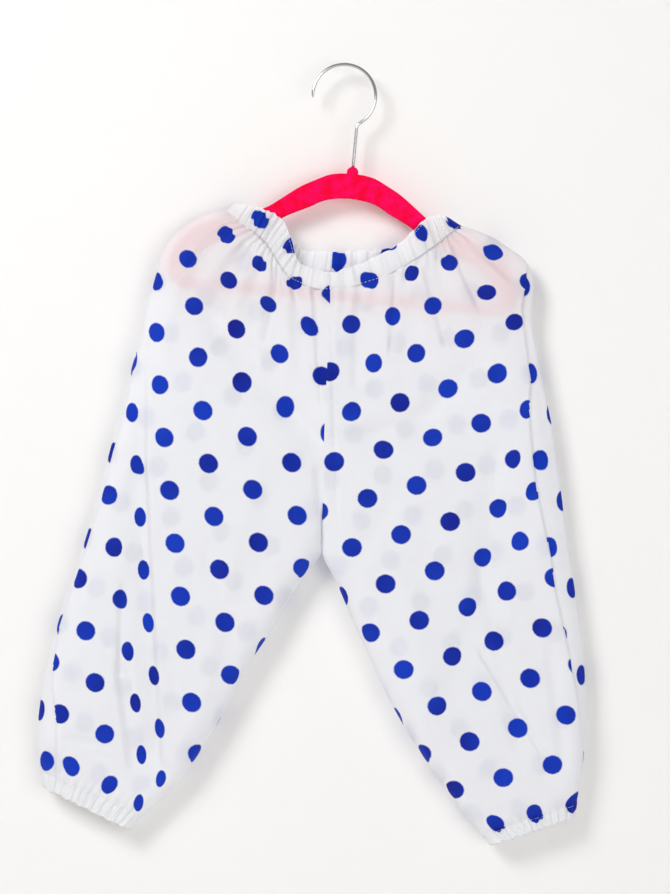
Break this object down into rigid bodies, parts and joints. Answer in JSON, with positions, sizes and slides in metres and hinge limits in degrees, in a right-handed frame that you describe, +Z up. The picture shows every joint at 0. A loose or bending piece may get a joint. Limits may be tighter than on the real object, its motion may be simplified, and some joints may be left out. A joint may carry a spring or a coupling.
{
  "type": "cotton trousers on a clothes hanger",
  "caption": "Child's elasticated cotton trousers hung by the waist on a flocked hanger with a wire hook; open waist, legs and cuffs.",
  "frame": {"origin": "where the inside of the hanger's hook rests on what holds it", "axes": "+Z up, -Y towards the front of the trousers, +X towards the wearer's left"},
  "size_m": [0.523, 0.0346, 0.7462],
  "materials": {
    "dotted_cotton": "thin crisp white cotton printed with royal blue dots",
    "crimson_flock": "short crimson flock over plastic",
    "chromed_wire": "bright"
  },
  "bodies": {
    "root": {"waist_casing": "dotted_cotton", "front_right_leg": "dotted_cotton", "front_left_leg": "dotted_cotton", "back_right_leg": "dotted_cotton", "back_left_leg": "dotted_cotton", "right_cuff_casing": "dotted_cotton", "left_cuff_casing": "dotted_cotton", "hanger_frame": "crimson_flock", "hanger_hook": "chromed_wire"}
  },
  "joints": []
}
